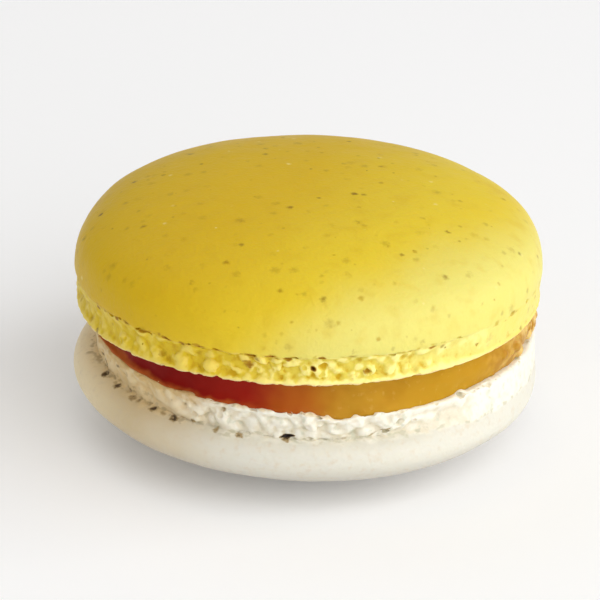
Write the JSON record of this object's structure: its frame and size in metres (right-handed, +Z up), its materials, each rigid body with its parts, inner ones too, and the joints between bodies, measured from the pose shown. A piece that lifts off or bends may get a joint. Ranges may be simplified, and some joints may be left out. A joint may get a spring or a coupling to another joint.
{
  "type": "french macaron",
  "caption": "Round sandwich biscuit: two domed meringue shells with bubbly ruffled feet, pressed on a layer of glossy fruit filling.",
  "frame": {"origin": "the middle of the macaron, on the surface it lies on", "axes": "+Z up through both shells, -Y towards the side that shows the red stretch of filling on the left, +X to that view's right"},
  "size_m": [0.0456, 0.0454, 0.0248],
  "materials": {
    "upper_crust": "dry, smooth lemon-yellow almond meringue with fine brown freckles and a bubbly foot",
    "fruit_filling": "moist, glossy set fruit filling, amber with a dark red stretch",
    "lower_crust": "dry, smooth off-white almond meringue with a crumbly, lightly stained foot"
  },
  "bodies": {
    "root": {"upper_shell": "upper_crust", "filling": "fruit_filling", "lower_shell": "lower_crust"}
  },
  "joints": []
}
